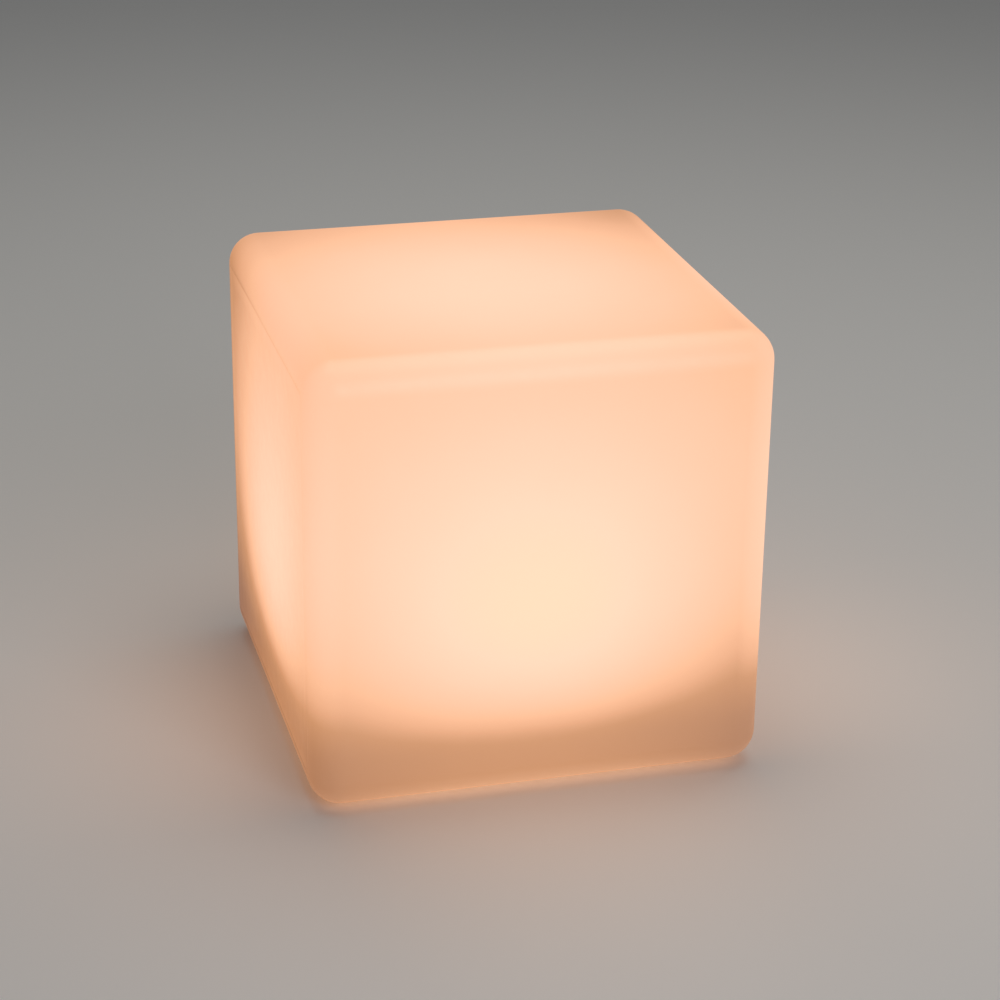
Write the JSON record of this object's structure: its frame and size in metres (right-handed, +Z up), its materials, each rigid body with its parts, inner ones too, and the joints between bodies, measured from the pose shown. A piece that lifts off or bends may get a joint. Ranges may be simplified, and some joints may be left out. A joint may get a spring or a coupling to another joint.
{
  "type": "floating pool light",
  "caption": "Glowing hollow cube that floats or stands, with a sealed rechargeable light module let into its underside.",
  "frame": {"origin": "centre of the cube's footprint, on the plane of its rubber feet", "axes": "+Z up; -Y is the face turned to the viewer; the power button is at -X and the charging cap at +X of the well, both towards -Y"},
  "size_m": [0.4, 0.4, 0.402],
  "materials": {
    "polyethylene": "satin, rotomoulded",
    "foot_rubber": "matt",
    "insert_brass": "machined",
    "gasket_silicone": "matt",
    "module_abs": "moulded, fine texture",
    "stainless": "passivated",
    "label_film": "satin film",
    "black_nylon": "moulded",
    "nickel_plate": "bright",
    "cap_abs": "moulded",
    "seal_rubber": "matt",
    "button_silicone": "matt",
    "spring_steel": "drawn",
    "clear_acrylic": "polished",
    "led_case": "white",
    "led_phosphor": "soft",
    "circuit_green": "solder mask",
    "circuit_white": "white solder mask",
    "chip_epoxy": "matt",
    "ferrite": "ground",
    "capacitor_can": "drawn",
    "header_nylon": "moulded",
    "cradle_abs": "moulded",
    "cell_sleeve": "shrink film",
    "foam": "open cell",
    "red_insulation": "smooth",
    "black_insulation": "smooth",
    "grey_sleeve": "smooth",
    "spreader_aluminium": "milled",
    "thermal_silicone": "soft",
    "receiver_epoxy": "dark, clear to infra-red",
    "frosted_polycarbonate": "frosted"
  },
  "bodies": {
    "root": {"shell": "polyethylene", "rubber_feet": "foot_rubber", "threaded_inserts": "insert_brass", "module_gasket": "gasket_silicone", "module_body": "module_abs", "module_screws": "stainless", "screw_washers": "stainless", "rating_label": "label_film", "charge_socket": "black_nylon", "socket_pin": "nickel_plate", "socket_contact": "nickel_plate", "socket_seal": "seal_rubber", "socket_nut": "nickel_plate", "socket_terminals": "nickel_plate", "button_spring": "spring_steel", "tact_switch": "chip_epoxy", "light_pipe": "clear_acrylic", "status_led": "led_case", "control_board": "circuit_green", "board_screws": "stainless", "controller_chip": "chip_epoxy", "led_drivers": "chip_epoxy", "power_inductor": "ferrite", "board_capacitor": "capacitor_can", "board_headers": "header_nylon", "lead_plugs": "header_nylon", "battery_cradle": "cradle_abs", "battery_cells": "cell_sleeve", "cell_tabs": "nickel_plate", "protection_board": "circuit_green", "battery_foam": "foam", "battery_lead_red": "red_insulation", "battery_lead_black": "black_insulation", "led_harness": "grey_sleeve", "heat_spreader": "spreader_aluminium", "spreader_screws": "stainless", "thermal_pad": "thermal_silicone", "led_board": "circuit_white", "led_board_screws": "stainless", "led_packages": "led_case", "led_phosphor": "led_phosphor", "ir_receiver": "receiver_epoxy", "lens": "frosted_polycarbonate", "lens_oring": "seal_rubber", "lens_ring": "module_abs", "lens_screws": "stainless"},
    "button": {"power_button": "button_silicone", "button_oring": "seal_rubber", "button_clip": "spring_steel"},
    "plunger": {"tact_plunger": "header_nylon"},
    "cap_seal": {"port_cap_seal": "seal_rubber"},
    "cap": {"port_cap": "cap_abs"}
  },
  "joints": [
    {"name": "power_button", "type": "slide", "parent": "root", "child": "button", "axis": [0, 0, 1], "range_m": [0, 0.001], "stiffness_N_per_m": 800, "springref_m": -0.0015, "deforming": ["button_spring"]},
    {"name": "tact_plunger", "type": "slide", "parent": "root", "child": "plunger", "axis": [0, 0, 1], "range_m": [0, 0.001]},
    {"name": "port_cap_travel", "type": "slide", "parent": "root", "child": "cap_seal", "axis": [0, 0, -1], "range_m": [0, 0.006]},
    {"name": "port_cap_turn", "type": "hinge", "parent": "cap_seal", "child": "cap", "pos_m": [0.018, -0.026, 0.0157], "axis": [0, 0, -1], "range_deg": [0, 1080]}
  ],
  "couplings": [
    {"joint": "tact_plunger", "follows": "power_button", "ratio": 1},
    {"joint": "port_cap_travel", "follows": "port_cap_turn", "m_per_rad": 0.0003183}
  ]
}
